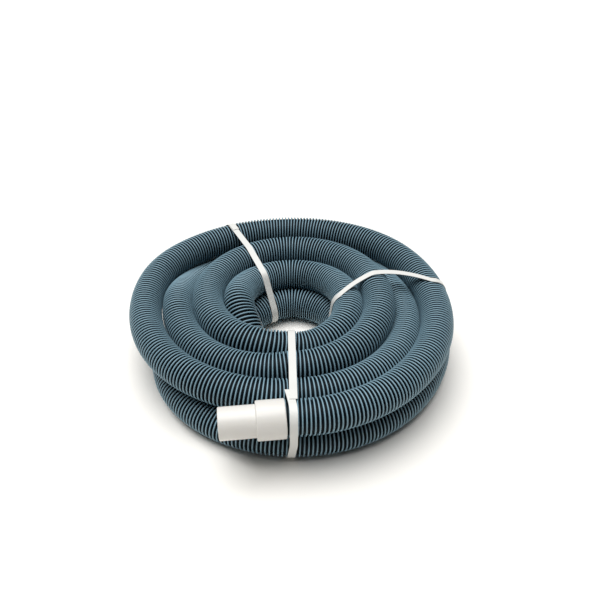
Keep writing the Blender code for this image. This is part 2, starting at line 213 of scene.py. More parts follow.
@dataclass(frozen=True)
class CuffAxis:
    """The straight line that a cuff lies on."""

    start: np.ndarray
    heading: np.ndarray

    @classmethod
    def at(
        cls, azimuth: float, lane: float, height: float, yaw: float, droop: float, backwards: bool
    ) -> CuffAxis:
        """Places an axis beside the coil's tangent.

        Args:
            azimuth: Where it starts, in degrees round the coil.
            lane: Turn pitches inwards from the outermost turn.
            height: Height of its start over the floor.
            yaw: Turn of the axis outwards from the tangent, in degrees.
            droop: Fall of the axis, in degrees.
            backwards: True where it runs clockwise.

        Returns:
            The axis, about the coil's own centre.
        """
        angle = math.radians(azimuth)
        radius = HOSE.coil_radius - lane * HOSE.pitch
        start = np.array((radius * math.cos(angle), radius * math.sin(angle), height))
        tangent = np.array((-math.sin(angle), math.cos(angle)))
        outward = np.array((math.cos(angle), math.sin(angle)))
        if backwards:
            tangent = -tangent
        flat = tangent * math.cos(math.radians(yaw)) + outward * math.sin(math.radians(yaw))
        slope = math.radians(droop)
        return cls(start, np.array((*(flat * math.cos(slope)), -math.sin(slope))))

    def point(self, distance: float) -> np.ndarray:
        """The point at a distance from the start."""
        return self.start + distance * self.heading

    def crossing(self, azimuth: float) -> tuple[float, float, float]:
        """Radius, height and distance from the start where the axis passes an azimuth."""
        angle = math.radians(azimuth)
        across = np.array((-math.sin(angle), math.cos(angle)))
        distance = -(self.start[:2] @ across) / (self.heading[:2] @ across)
        point = self.point(distance)
        return math.hypot(point[0], point[1]), point[2], distance

    def moved(self, offset: np.ndarray) -> CuffAxis:
        """The same axis in another place."""
        return CuffAxis(self.start + offset, self.heading)

    def matrix(self, distance: float = 0.0) -> Matrix:
        """A frame with its Z axis along the heading, at a distance from the start."""
        turn = Vector(self.heading).to_track_quat("Z", "Y")
        return Matrix.LocRotScale(Vector(self.point(distance)), turn, None)


@dataclass
class Winding:
    """The plan of the coil and the settling of its turns against each other.

    Attributes:
        setback: Distance from the first azimuth to the swivel collar's mouth.
        swivel_lane: Turn pitches inwards at which the swivel cuff starts.
        swivel_level: Turn pitches over the bottom layer at which it starts.
        swivel_yaw: Turn of the swivel cuff outwards, in degrees.
        swivel_droop: Fall of the swivel cuff, in degrees.
        fixed_lane: Turn pitches inwards at which the fixed cuff starts.
        fixed_yaw: Turn of the fixed cuff outwards, in degrees.
        cuff_rings: The most rings that a cuff spans.
        pull: Share of the way back to its plan that a ring goes in a pass, at first.
        fading: How much sooner than the last pass the pull has faded.
        smoothing: Share of a bend that a pass takes out, at first.
        last_smoothing: The same once the pull has faded.
        push: Share of an overlap that a pass takes out.
        neighbours: Rings beside the one straight across that are kept clear too.
        plan: Azimuth, turn pitches inwards and turn pitches up, along the hose.
    """

    setback: float = 0.0060
    swivel_lane: float = -0.05
    swivel_level: float = 1.15
    swivel_yaw: float = 6.0
    swivel_droop: float = 0.5
    fixed_lane: float = 0.05
    fixed_yaw: float = -5.0
    cuff_rings: int = 5
    pull: float = 0.05
    fading: float = 1.3
    smoothing: float = 0.25
    last_smoothing: float = 0.01
    push: float = 0.6
    neighbours: tuple[int, ...] = (0, -1, 1, -2, 2)
    plan: tuple[tuple[float, float, float], ...] = (
        (270, -0.05, 1.15),
        (315, 0.05, 1.15),
        (350, 0.13, 1.15),
        (405, 0.03, 1.15),
        (450, 0.05, 1.15),
        (540, -0.03, 1.10),
        (570, 0.20, 1.10),
        (600, 0.70, 1.05),
        (630, 1.00, 1.00),
        (675, 1.00, 0.90),
        (720, 0.96, 0.75),
        (750, 0.90, 0.70),
        (765, 0.70, 0.60),
        (780, 0.35, 0.30),
        (795, 0.15, 0.05),
        (840, 0.15, 0.05),
        (855, 0.40, 0.25),
        (870, 0.70, 0.50),
        (890, 0.95, 0.75),
        (945, 1.50, 0.95),
        (990, 2.00, 1.00),
        (1035, 1.95, 1.10),
        (1080, 1.80, 1.25),
        (1110, 1.70, 1.25),
        (1150, 1.20, 1.10),
        (1170, 1.05, 1.05),
        (1215, 1.50, 1.10),
        (1260, 2.15, 1.15),
        (1305, 2.70, 1.00),
        (1350, 3.00, 0.80),
        (1395, 2.90, 0.85),
        (1440, 2.75, 0.95),
        (1470, 2.60, 0.90),
        (1500, 2.20, 0.70),
        (1530, 2.00, 0.65),
        (1590, 2.60, 0.75),
        (1620, 2.90, 0.70),
        (1650, 3.00, 0.50),
        (1680, 2.80, 0.15),
        (1710, 2.30, 0.00),
        (1755, 2.60, 0.00),
        (1800, 2.80, 0.00),
        (1890, 2.75, 0.00),
        (1935, 3.00, 0.00),
        (1980, 2.90, 0.00),
        (2025, 2.15, 0.00),
        (2070, 1.30, 0.00),
        (2160, 1.60, 0.00),
        (2250, 1.25, 0.00),
        (2310, 1.65, 0.00),
        (2325, 1.45, 0.00),
        (2345, 0.60, 0.00),
        (2360, 0.20, 0.00),
        (2410, 0.30, 0.00),
        (2470, 0.10, 0.00),
        (2530, 0.05, 0.05),
    )
    swivel: CuffAxis = field(init=False)
    fixed: CuffAxis = field(init=False)

    def __post_init__(self) -> None:
        """Places the two cuffs."""
        upper = STRAP.bed + HOSE.outer / 2 + self.swivel_level * HOSE.pitch
        lower = STRAP.bed + CUFF.collar_outer / 2
        self.swivel = CuffAxis.at(
            HOSE.first_azimuth, self.swivel_lane, upper, self.swivel_yaw, self.swivel_droop, True
        )
        self.fixed = CuffAxis.at(self.last_azimuth, self.fixed_lane, lower, self.fixed_yaw, 0.0, False)

    @property
    def last_azimuth(self) -> float:
        """Where the hose meets the fixed cuff."""
        return self.plan[-1][0]

    def planned(self) -> np.ndarray:
        """Reads the plan at each ring, and adds the rings that the two cuffs span.

        Returns:
            Rows of azimuth, radius, height, half thickness and 1 where a cuff holds the ring.
        """
        plan = np.array(self.plan, dtype=float)
        floor = STRAP.bed + HOSE.outer / 2
        cuff_length = CUFF.collar_length + CUFF.nozzle_length
        collar = CUFF.collar_outer / 2
        rows = []
        for count in range(self.cuff_rings, 0, -1):
            azimuth = HOSE.first_azimuth - HOSE.step * count
            radius, height, distance = self.swivel.crossing(azimuth)
            if distance < self.setback + cuff_length:
                rows.append((azimuth, radius, height, collar, 1.0))
        for azimuth in np.arange(HOSE.first_azimuth, self.last_azimuth + HOSE.step / 2, HOSE.step):
            radius = HOSE.coil_radius - np.interp(azimuth, plan[:, 0], plan[:, 1]) * HOSE.pitch
            height = floor + np.interp(azimuth, plan[:, 0], plan[:, 2]) * HOSE.pitch
            row = (azimuth, radius, height, HOSE.outer / 2, 0.0)
            for axis, edge in ((self.swivel, HOSE.first_azimuth), (self.fixed, self.last_azimuth)):
                rings_off = round(abs(azimuth - edge) / HOSE.step)
                if rings_off <= 1:
                    thick = collar if rings_off == 0 else HOSE.outer / 2
                    row = (azimuth, *axis.crossing(azimuth)[:2], thick, 1.0)
            rows.append(row)
        for count in range(1, self.cuff_rings + 1):
            azimuth = self.last_azimuth + HOSE.step * count
            radius, height, distance = self.fixed.crossing(azimuth)
            if distance < cuff_length:
                rows.append((azimuth, radius, height, collar, 1.0))
        return np.array(rows, dtype=float)

    def settled(self) -> np.ndarray:
        """Moves the planned rings until no turn presses into another or into the floor.

        Returns:
            Rows of azimuth, radius and height.
        """
        azimuths, radii, heights, half, held = self.planned().T.copy()
        free = 1.0 - held
        planned_radii = radii.copy()
        planned_heights = heights.copy()
        lowest = half + STRAP.bed
        for step in range(HOSE.settle_passes):
            ease = max(0.0, 1.0 - self.fading * step / HOSE.settle_passes)
            radii += free * self.pull * ease * (planned_radii - radii)
            heights += free * self.pull * ease * (planned_heights - heights)
            for line in (radii, heights):
                bend = (line[:-2] + line[2:]) / 2 - line[1:-1]
                line[1:-1] += free[1:-1] * (self.smoothing * ease + self.last_smoothing) * bend
            for turns in range(1, len(radii) // HOSE.rings_per_turn + 1):
                for offset in self.neighbours:
                    apart = turns * HOSE.rings_per_turn + offset
                    self._part(radii, heights, half, free, apart, offset)
            heights[:] = np.where(held > 0, heights, np.maximum(heights, lowest))
        return np.column_stack((azimuths, radii, heights))

    def _part(
        self,
        radii: np.ndarray,
        heights: np.ndarray,
        half: np.ndarray,
        free: np.ndarray,
        apart: int,
        offset: int,
    ) -> None:
        """Moves each pair of rings that are this many rings apart until they clear each other.

        Args:
            radii: Distance of each ring from the coil's centre, changed in place.
            heights: Height of each ring, changed in place.
            half: Half the thickness at each ring.
            free: 1 for a ring that may move, 0 for one in a cuff.
            apart: How many rings lie between the two of a pair.
            offset: How far that is from whole turns.
        """
        if apart >= len(radii):
            return
        inner = slice(None, -apart)
        outer = slice(apart, None)
        across = radii[outer] - radii[inner]
        up = heights[outer] - heights[inner]
        chord = 2 * np.sqrt(radii[outer] * radii[inner]) * math.sin(math.radians(abs(offset) * HOSE.step / 2))
        section = np.hypot(across, up) + 1e-9
        short = np.maximum(half[outer] + half[inner] + HOSE.gap - np.hypot(section, chord), 0.0)
        push = self.push * short / section / (free[outer] + free[inner] + 1e-9)
        radii[outer] += push * free[outer] * across
        heights[outer] += push * free[outer] * up
        radii[inner] -= push * free[inner] * across
        heights[inner] -= push * free[inner] * up

    def points(self) -> np.ndarray:
        """Follows the settled rings from the swivel collar's socket to the fixed cuff's.

        Returns:
            Points on the hose's centreline.
        """
        azimuths, radii, heights = self.settled().T
        edge = HOSE.step / 2
        inside = (azimuths > HOSE.first_azimuth + edge) & (azimuths < self.last_azimuth - edge)
        angles = np.radians(azimuths[inside])
        wound = np.column_stack((
            radii[inside] * np.cos(angles),
            radii[inside] * np.sin(angles),
            heights[inside],
        ))
        start = (self.swivel.point(self.setback + CUFF.socket_depth), self.swivel.point(self.setback))
        end = (self.fixed.point(0.0), self.fixed.point(CUFF.socket_depth))
        return np.vstack((start, wound, end))


class Centreline:
    """A smooth line through the hose's points, read by distance along it."""

    def __init__(self, points: np.ndarray, finest: float = 0.001) -> None:
        """Threads a smooth line through the points.

        Args:
            points: The points, one row each.
            finest: Distance between two samples of the line.
        """
        knots = np.vstack((2 * points[0] - points[1], points, 2 * points[-1] - points[-2]))
        spans = []
        for before, start, stop, after in zip(knots, knots[1:], knots[2:], knots[3:]):
            count = max(2, math.ceil(np.linalg.norm(stop - start) / finest))
            share = np.linspace(0.0, 1.0, count, endpoint=False)[:, None]
            spans.append(self._span(before, start, stop, after, share))
        line = np.vstack((*spans, points[-1:]))
        steps = np.linalg.norm(np.diff(line, axis=0), axis=1)
        self.line = line
        self.distances = np.concatenate(((0.0,), np.cumsum(steps)))
        self.length = float(self.distances[-1])
        tangents = np.gradient(line, self.distances, axis=0)
        self.tangents = tangents / np.linalg.norm(tangents, axis=1)[:, None]

    @staticmethod
    def _span(
        before: np.ndarray, start: np.ndarray, stop: np.ndarray, after: np.ndarray, share: np.ndarray
    ) -> np.ndarray:
        """Reads one stretch of a Catmull-Rom spline.

        Args:
            before: The point before the stretch.
            start: Where it starts.
            stop: Where it stops.
            after: The point after the stretch.
            share: Shares of the way, one row each.

        Returns:
            One point for each share.
        """
        leaving = (stop - before) / 2
        arriving = (after - start) / 2
        square = share**2
        cube = share**3
        return (
            (2 * cube - 3 * square + 1) * start
            + (cube - 2 * square + share) * leaving
            + (3 * square - 2 * cube) * stop
            + (cube - square) * arriving
        )

    def at(self, distances: np.ndarray) -> tuple[np.ndarray, np.ndarray, np.ndarray]:
        """Reads the hose's section at some distances.

        Args:
            distances: Distances along the line.

        Returns:
            Centres, level directions and upward directions.
        """
        centres = self._read(self.line, distances)
        tangents = self._read(self.tangents, distances)
        level = np.cross(tangents, (0.0, 0.0, 1.0))
        level /= np.linalg.norm(level, axis=-1, keepdims=True)
        return centres, level, np.cross(level, tangents)

    def _read(self, rows: np.ndarray, distances: np.ndarray) -> np.ndarray:
        """Rows between the samples."""
        return np.stack([np.interp(distances, self.distances, rows[:, axis]) for axis in range(3)], axis=-1)


# ---------------------------------------------------------------- materials


class Grain(Enum):
    """Named scales of fine surface relief, in cycles per metre."""

    MOULDED = 900.0
    DRAWN = 260.0
    RUBBED = 2400.0


@dataclass(frozen=True)
class Finish:
    """A plastic or rubber surface with slight variation of colour and relief."""

    name: str
    colour: Colour
    shade: Colour
    roughness: float
    grain: Grain = Grain.MOULDED
    relief: float = 0.05
    subsurface: float = 0.0
    specular: float = 0.5
    blotch: float = 35.0

    def material(self) -> bpy.types.Material:
        """Makes the material.

        Returns:
            A material whose colour drifts between two tones, with fine relief.
        """
        made = bpy.data.materials.new(self.name)
        made.use_nodes = True
        nodes = made.node_tree.nodes
        links = made.node_tree.links
        shader = nodes["Principled BSDF"]
        shader.inputs["Roughness"].default_value = self.roughness
        shader.inputs["Specular IOR Level"].default_value = self.specular
        shader.inputs["Subsurface Weight"].default_value = self.subsurface
        shader.inputs["Subsurface Radius"].default_value = (0.004, 0.003, 0.002)
        shader.inputs["Subsurface Scale"].default_value = 1.0
        place = nodes.new("ShaderNodeTexCoord")
        drift = nodes.new("ShaderNodeTexNoise")
        drift.inputs["Scale"].default_value = self.blotch
        drift.inputs["Detail"].default_value = 4.0
        links.new(place.outputs["Object"], drift.inputs["Vector"])
        mix = self.colouring(nodes, links, drift.outputs["Fac"])
        links.new(mix, shader.inputs["Base Color"])
        grain = nodes.new("ShaderNodeTexNoise")
        grain.inputs["Scale"].default_value = self.grain.value
        grain.inputs["Detail"].default_value = 3.0
        links.new(place.outputs["Object"], grain.inputs["Vector"])
        bump = nodes.new("ShaderNodeBump")
        bump.inputs["Strength"].default_value = self.relief
        bump.inputs["Distance"].default_value = 0.0004
        links.new(grain.outputs["Fac"], bump.inputs["Height"])
        links.new(bump.outputs["Normal"], shader.inputs["Normal"])
        return made

    def colouring(
        self, nodes: bpy.types.Nodes, links: bpy.types.NodeLinks, drift: bpy.types.NodeSocket
    ) -> bpy.types.NodeSocket:
        """Mixes the two tones by the drift.

        Args:
            nodes: The material's nodes.
            links: The material's links.
            drift: A factor that wanders over the surface.

        Returns:
            The colour socket.
        """
        mix = nodes.new("ShaderNodeMix")
        mix.data_type = "RGBA"
        mix.inputs["A"].default_value = (*self.shade, 1.0)
        mix.inputs["B"].default_value = (*self.colour, 1.0)
        links.new(drift, mix.inputs["Factor"])
        return mix.outputs["Result"]


@dataclass(frozen=True)
class RibFinish(Finish):
    """The hose's rib: its crest is paler than its flanks, which run into the dark wall; the darkening towards
    the rib's foot is partly the hose's own dark colour and partly painted shade of the grooves.

    Attributes:
        flank_and_groove_shade: Colour of the flanks, partly their own near-black and partly painted shade of
            the grooves.
        flank_top: Share of the rib's height up to which it is all flank.
        crest_foot: Share of the rib's height from which it is all crest.
    """

    # Near-black flanks: partly the hose's own dark colour, partly painted shade of the grooves between the
    # rib's rounds.
    flank_and_groove_shade: Colour = (0.0015, 0.0060, 0.0100)
    flank_top: float = 0.45
    crest_foot: float = 0.95

    def colouring(
        self, nodes: bpy.types.Nodes, links: bpy.types.NodeLinks, drift: bpy.types.NodeSocket
    ) -> bpy.types.NodeSocket:
        """Mixes the crest's two tones, then the flank's by the height on the rib, which paints the grooves'
        shade on the rib's lower flanks along with their own dark colour.

        Args:
            nodes: The material's nodes.
            links: The material's links.
            drift: A factor that wanders over the surface.

        Returns:
            The colour socket.
        """
        crest = super().colouring(nodes, links, drift)
        # Painted groove shade, with the flanks' own dark colour: the rib darkens towards its foot, by its
        # height on the section.
        height = nodes.new("ShaderNodeAttribute")
        height.attribute_name = "rib_height"
        edge = nodes.new("ShaderNodeMapRange")
        edge.interpolation_type = "SMOOTHSTEP"
        edge.inputs["From Min"].default_value = self.flank_top
        edge.inputs["From Max"].default_value = self.crest_foot
        links.new(height.outputs["Fac"], edge.inputs["Value"])
        mix = nodes.new("ShaderNodeMix")
        mix.data_type = "RGBA"
        mix.inputs["A"].default_value = (*self.flank_and_groove_shade, 1.0)
        links.new(crest, mix.inputs["B"])
        links.new(edge.outputs["Result"], mix.inputs["Factor"])
        return mix.outputs["Result"]


# Near-black wall: partly the hose's own dark blue, partly painted shade of the deep grooves between the rib's
# rounds.
WALL = Finish(
    "hose_wall_navy_and_groove_shade", (0.0010, 0.0050, 0.0085), (0.0008, 0.0035, 0.0060), 0.60, Grain.DRAWN, 0.08,
    specular=0.10,
)
# Crest colour; towards its foot the rib darkens to near-black, partly painted shade of the grooves.
RIB = RibFinish(
    "hose_rib_slate_and_groove_shade", (0.250, 0.395, 0.475), (0.190, 0.305, 0.370), 0.38, Grain.DRAWN, 0.06,
    specular=0.28,
)
CUFF_WHITE = Finish(
    "cuff_white", (0.77, 0.75, 0.71), (0.74, 0.72, 0.68), 0.36, relief=0.03, subsurface=0.04
)
RING_WHITE = Finish("ring_white", (0.86, 0.86, 0.84), (0.82, 0.82, 0.80), 0.35, relief=0.03)
STRAP_WHITE = Finish("strap_white", (0.77, 0.77, 0.74), (0.70, 0.70, 0.67), 0.42, Grain.RUBBED, 0.06)
RUBBER = Finish("seal_rubber", (0.020, 0.020, 0.022), (0.012, 0.012, 0.014), 0.75, Grain.RUBBED, 0.08)
NATURAL = Finish("washer_natural", (0.72, 0.71, 0.66), (0.66, 0.65, 0.60), 0.45)
BACKGROUND = Finish("floor_white", (0.93, 0.91, 0.87), (0.93, 0.91, 0.87), 0.90, relief=0.0, specular=0.0)


# ---------------------------------------------------------------- modelling helpers


def deselect() -> None:
    """Leaves edit mode and clears the selection."""
    if bpy.context.object and bpy.context.object.mode != "OBJECT":
        bpy.ops.object.mode_set(mode="OBJECT")
    bpy.ops.object.select_all(action="DESELECT")


def finish_piece(
    piece: bpy.types.Object, material: bpy.types.Material, body: str = BODY
) -> bpy.types.Object:
    """Gives a finished piece its material and the body that it rides on.

    Args:
        piece: The piece.
        material: Its material.
        body: The body that carries it.

    Returns:
        The piece.
    """
    piece.data.materials.clear()
    piece.data.materials.append(material)
    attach(piece, body)
    LOG.info("%s: %d faces, rides on %s", piece.name, len(piece.data.polygons), body)
    return piece


def mesh_piece(name: str, places: np.ndarray, faces: np.ndarray) -> bpy.types.Object:
    """Makes a smooth mesh object from its corners and quads.

    Args:
        name: The object's name.
        places: Corner positions, one row each.
        faces: Four corner numbers for each face.

    Returns:
        The object, linked to the scene.
    """
    mesh = bpy.data.meshes.new(name)
    mesh.from_pydata(places, [], faces)
    mesh.shade_smooth()
    piece = bpy.data.objects.new(name, mesh)
    bpy.context.scene.collection.objects.link(piece)
    return piece


def turn_outwards(piece: bpy.types.Object) -> None:
    """Turns every face of a closed piece outwards.

    Args:
        piece: The piece, in object mode.
    """
    shape = bmesh.new()
    shape.from_mesh(piece.data)
    bmesh.ops.recalc_face_normals(shape, faces=shape.faces)
    shape.to_mesh(piece.data)
    shape.free()


@dataclass
class Turning:
    """A turned piece: a closed outline of (radius, distance) corners, with rounded edges."""

    name: str
    outline: Sequence[tuple[float, float]]
    axis: CuffAxis
    setback: float = 0.0
    sides: int = 96
    smooth_below: float = 35.0

    def build(self) -> bpy.types.Object:
        """Extrudes a circle from corner to corner of the outline and closes it.

        Returns:
            The piece in its place, with its object at the origin.
        """
        deselect()
        radius, distance = self.outline[0]
        bpy.ops.mesh.primitive_circle_add(vertices=self.sides, radius=radius, location=(0, 0, distance))
        piece = bpy.context.object
        piece.name = self.name
        bpy.ops.object.transform_apply(location=True, rotation=False, scale=False)
        bpy.ops.object.mode_set(mode="EDIT")
        bpy.ops.mesh.select_all(action="SELECT")
        for (old_radius, old_distance), (radius, distance) in zip(self.outline, self.outline[1:]):
            bpy.ops.mesh.extrude_edges_move(
                TRANSFORM_OT_translate={"value": (0, 0, distance - old_distance)}
            )
            ratio = radius / old_radius
            bpy.ops.transform.resize(value=(ratio, ratio, 1), center_override=(0, 0, distance))
        bpy.ops.mesh.select_all(action="DESELECT")
        self._select_rims(piece)
        bpy.ops.mesh.bridge_edge_loops()
        bpy.ops.mesh.select_all(action="SELECT")
        bpy.ops.mesh.normals_make_consistent(inside=False)
        bpy.ops.object.mode_set(mode="OBJECT")
        piece.matrix_world = self.axis.matrix(self.setback)
        bpy.ops.object.transform_apply(location=True, rotation=True, scale=True)
        bpy.ops.object.shade_smooth_by_angle(angle=math.radians(self.smooth_below))
        return piece

    def _select_rims(self, piece: bpy.types.Object) -> None:
        """Selects the open edges of a piece.

        Args:
            piece: The piece, in edit mode.
        """
        shape = bmesh.from_edit_mesh(piece.data)
        for edge in shape.edges:
            edge.select = edge.is_boundary
        bmesh.update_edit_mesh(piece.data)


def rounded(
    corner: tuple[float, float],
    before: tuple[float, float],
    after: tuple[float, float],
    radius: float,
    steps: int = 5,
) -> list[tuple[float, float]]:
    """Rounds a square corner of an outline with an arc.

    Args:
        corner: The sharp corner, as (radius, distance).
        before: The outline's point before it.
        after: The outline's point after it.
        radius: Radius of the rounding.
        steps: Number of arc segments.

    Returns:
        The arc's points in the outline's order.
    """
    middle = Vector(corner)
    arriving = (Vector(before) - middle).normalized() * radius
    leaving = (Vector(after) - middle).normalized() * radius
    points = []
    for count in range(steps + 1):
        angle = math.pi / 2 * count / steps
        place = middle + arriving * (1 - math.sin(angle)) + leaving * (1 - math.cos(angle))
        points.append((place.x, place.y))
    return points


def soft_outline(corners: Sequence[tuple[float, float, float]]) -> list[tuple[float, float]]:
    """Rounds the corners of an outline.

    Args:
        corners: (radius, distance, rounding) for each corner; a rounding of 0 keeps it sharp.

    Returns:
        The outline's points.
    """
    points = []
    count = len(corners)
    for index, (radius, distance, rounding) in enumerate(corners):
        if rounding == 0:
            points.append((radius, distance))
        else:
            before = corners[index - 1][:2]
            after = corners[(index + 1) % count][:2]
            points += rounded((radius, distance), before, after, rounding)
    return points


# ---------------------------------------------------------------- hose


@dataclass
class Hose:
    """The hose: a thin dark wall and the helical rib that stiffens it. The wall's near-black colour is partly
    the hose's own dark blue and partly painted shade of the deep grooves between the rib's rounds.

    Attributes:
        centreline: The line that it follows.
        rib_base: Width of the rib at its foot.
        rib_root: How deep the rib's foot sits in the wall.
        rib_arch: The rib's section, as shares of half its base and of its rise.
        rib_stretches: How many pieces the rib is made in.
        stations_per_rib: Sections in one round of the rib.
        wall_ring_spacing: Longest distance between two rings of the wall.
        wall_sides: Corners in a ring of the wall.
        record_stride: Not used.
    """

    centreline: Centreline
    rib_base: float = 0.0025
    rib_root: float = 0.0003
    rib_arch: tuple[tuple[float, float], ...] = (
        (-1.0, 0.0), (-0.86, 0.62), (-0.42, 1.0), (0.42, 1.0), (0.86, 0.62), (1.0, 0.0),
    )
    rib_stretches: int = 3
    stations_per_rib: int = 26
    wall_ring_spacing: float = 0.0060
    wall_sides: int = 32
    record_stride: int = 10

    def build(self) -> bpy.types.Object:
        """Builds the wall and the rib.

        Returns:
            The wall, which stands for the hose's solid.
        """
        wall = self._wall()
        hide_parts("hose")
        rib_look = RIB.material()
        ribs = [self._rib(number, rib_look) for number in range(self.rib_stretches)]
        return wall

    def _wall(self) -> bpy.types.Object:
        """Builds the wall: an outer and an inner skin, joined at both ends.

        Returns:
            The wall.
        """
        rings = math.ceil(self.centreline.length / self.wall_ring_spacing)
        distances = np.linspace(0.0, self.centreline.length, rings + 1)
        centres, level, upward = self.centreline.at(distances)
        angles = 2 * math.pi * np.arange(self.wall_sides) / self.wall_sides
        across = np.cos(angles)[None, :, None] * level[:, None, :]
        across = across + np.sin(angles)[None, :, None] * upward[:, None, :]
        skins = [centres[:, None, :] + size / 2 * across for size in (HOSE.groove, HOSE.bore)]
        places = np.concatenate(skins).reshape(-1, 3)
        total = 2 * (rings + 1)
        number = np.arange(total * self.wall_sides).reshape(total, self.wall_sides)
        outer = number[: rings + 1]
        inner = number[rings + 1:][::-1]
        ring = np.vstack((outer, inner, outer[:1]))
        after = np.roll(ring, -1, axis=1)
        faces = np.stack((ring[:-1], ring[1:], after[1:], after[:-1]), axis=-1).reshape(-1, 4)
        return finish_piece(mesh_piece("hose_wall", places, faces), WALL.material())

    def _rib(self, number: int, look: bpy.types.Material) -> bpy.types.Object:
        """Builds one stretch of the rib, a rounded bead wound round the wall.

        Args:
            number: Which stretch, from the swivel cuff.
            look: The rib's material.

        Returns:
            The stretch.
        """
        ribs = math.floor(self.centreline.length / HOSE.rib_pitch) - 1
        per_stretch = math.ceil(ribs / self.rib_stretches)
        first = number * per_stretch
        last = min(first + per_stretch, ribs)
        stations = np.arange(first * self.stations_per_rib, last * self.stations_per_rib + 1)
        angles = 2 * math.pi * stations / self.stations_per_rib
        middles = HOSE.rib_pitch * (0.5 + stations / self.stations_per_rib)
        offsets, radii = self._bead()
        distances = middles[:, None] + offsets[None, :]
        centres, level, upward = self.centreline.at(distances)
        across = np.cos(angles)[:, None, None] * level + np.sin(angles)[:, None, None] * upward
        places = (centres + radii[None, :, None] * across).reshape(-1, 3)
        count = len(stations)
        corners = len(offsets)
        grid = np.arange(count * corners).reshape(count, corners)
        around = np.hstack((grid, grid[:, :1]))
        faces = np.stack((around[:-1, :-1], around[:-1, 1:], around[1:, 1:], around[1:, :-1]), axis=-1)
        ends = [grid[0][::-1].tolist(), grid[-1].tolist()]
        piece = mesh_piece(f"hose_rib_{number + 1}", places, faces.reshape(-1, 4).tolist() + ends)
        turn_outwards(piece)
        # Height share on the rib's section; the rib's material darkens the flanks by it, partly painted shade
        # of the grooves.
        height = (radii - radii.min()) / (radii.max() - radii.min())
        mark = piece.data.attributes.new("rib_height", "FLOAT", "POINT")
        mark.data.foreach_set("value", np.tile(height, count).astype(np.float32))
        return finish_piece(piece, look)

    def _bead(self) -> tuple[np.ndarray, np.ndarray]:
        """Shapes the rib's section, a low arch with its foot in the wall.

        Returns:
            Distances along the hose and radii.
        """
        foot = HOSE.groove / 2 - self.rib_root
        rise = HOSE.crest / 2 - foot
        along, up = np.array(self.rib_arch).T
        return along * self.rib_base / 2, foot + rise * up


# ---------------------------------------------------------------- cuffs


@dataclass
class SwivelCuff:
    """The cuff whose nozzle turns: collar and nozzle here, seal, washer and ring as solids."""

    axis: CuffAxis
    setback: float
    rounding: float = 0.0018

    def build(self, nodes: dict[str, bpy.types.Object]) -> None:
        """Builds the collar and the nozzle and dresses the small parts.

        Args:
            nodes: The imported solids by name.
        """
        white = CUFF_WHITE.material()
        collar = Turning("swivel_cuff_shell", self._collar_outline(), self.axis, self.setback).build()
        finish_piece(collar, white)
        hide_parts("swivel_collar")
        nozzle = Turning("swivel_cuff_nozzle", self._nozzle_outline(), self.axis, self.setback).build()
        finish_piece(nozzle, white, SPINNING_BODY)
        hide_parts("swivel_nozzle")
        for name, finish in (
            ("retaining_ring", RING_WHITE),
            ("nozzle_seal", RUBBER),
            ("thrust_washer", NATURAL),
        ):
            nodes[name].data.materials.clear()
            nodes[name].data.materials.append(finish.material())

    def _collar_outline(self) -> list[tuple[float, float]]:
        """Outlines the collar: rounded outside, socket, shoulder, chamber and ring groove inside.

        Returns:
            The outline's points.
        """
        outer = CUFF.collar_outer / 2
        chamber = CUFF.chamber / 2
        groove = chamber + CUFF.ring_groove
        bore = CUFF.bore / 2
        socket = HOSE.outer / 2 + CUFF.socket_clearance
        return soft_outline((
            (outer, 0.0, self.rounding),
            (outer, CUFF.collar_length, self.rounding),
            (chamber, CUFF.collar_length, CUFF.edge_rounding),
            (chamber, CUFF.ring_end + CUFF.running, 0),
            (groove, CUFF.ring_end + CUFF.running, 0),
            (groove, CUFF.ring_start - CUFF.running, 0),
            (chamber, CUFF.ring_start - CUFF.running, 0),
            (chamber, CUFF.shoulder_end, 0),
            (bore, CUFF.shoulder_end, CUFF.edge_rounding),
            (bore, CUFF.shoulder_start, CUFF.edge_rounding),
            (socket, CUFF.shoulder_start, 0),
            (socket, 0.0, CUFF.socket_rounding),
        ))

    @staticmethod
    def _nozzle_outline() -> list[tuple[float, float]]:
        """Outlines the nozzle: flange, barrel and rounded tip.

        Returns:
            The outline's points.
        """
        bore = CUFF.bore / 2
        barrel = CUFF.nozzle_outer / 2
        flange = CUFF.chamber / 2 - CUFF.running
        tip = CUFF.collar_length + CUFF.nozzle_length
        return soft_outline((
            (flange, CUFF.flange_start, CUFF.edge_rounding),
            (flange, CUFF.flange_end, CUFF.edge_rounding),
            (barrel, CUFF.flange_end, 0),
            (barrel, tip, CUFF.tip_rounding),
            (bore, tip, CUFF.lip_rounding),
            (bore, CUFF.flange_start, CUFF.edge_rounding),
        ))


@dataclass
class FixedCuff:
    """The cuff at the hose's other end, one moulding."""

    axis: CuffAxis
    rounding: float = 0.0020

    def build(self) -> None:
        """Builds the cuff."""
        outer = CUFF.collar_outer / 2
        bore = CUFF.bore / 2
        barrel = CUFF.nozzle_outer / 2
        socket = HOSE.outer / 2 + CUFF.socket_clearance
        tip = CUFF.collar_length + CUFF.nozzle_length
        outline = soft_outline((
            (outer, 0.0, self.rounding),
            (outer, CUFF.collar_length, self.rounding),
            (barrel, CUFF.collar_length, 0),
            (barrel, tip, CUFF.tip_rounding),
            (bore, tip, CUFF.lip_rounding),
            (bore, CUFF.shoulder_start, CUFF.edge_rounding),
            (socket, CUFF.shoulder_start, 0),
            (socket, 0.0, CUFF.socket_rounding),
        ))
        shell = Turning("fixed_cuff_shell", outline, self.axis).build()
        finish_piece(shell, CUFF_WHITE.material())
        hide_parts("fixed_cuff")


# ---------------------------------------------------------------- straps


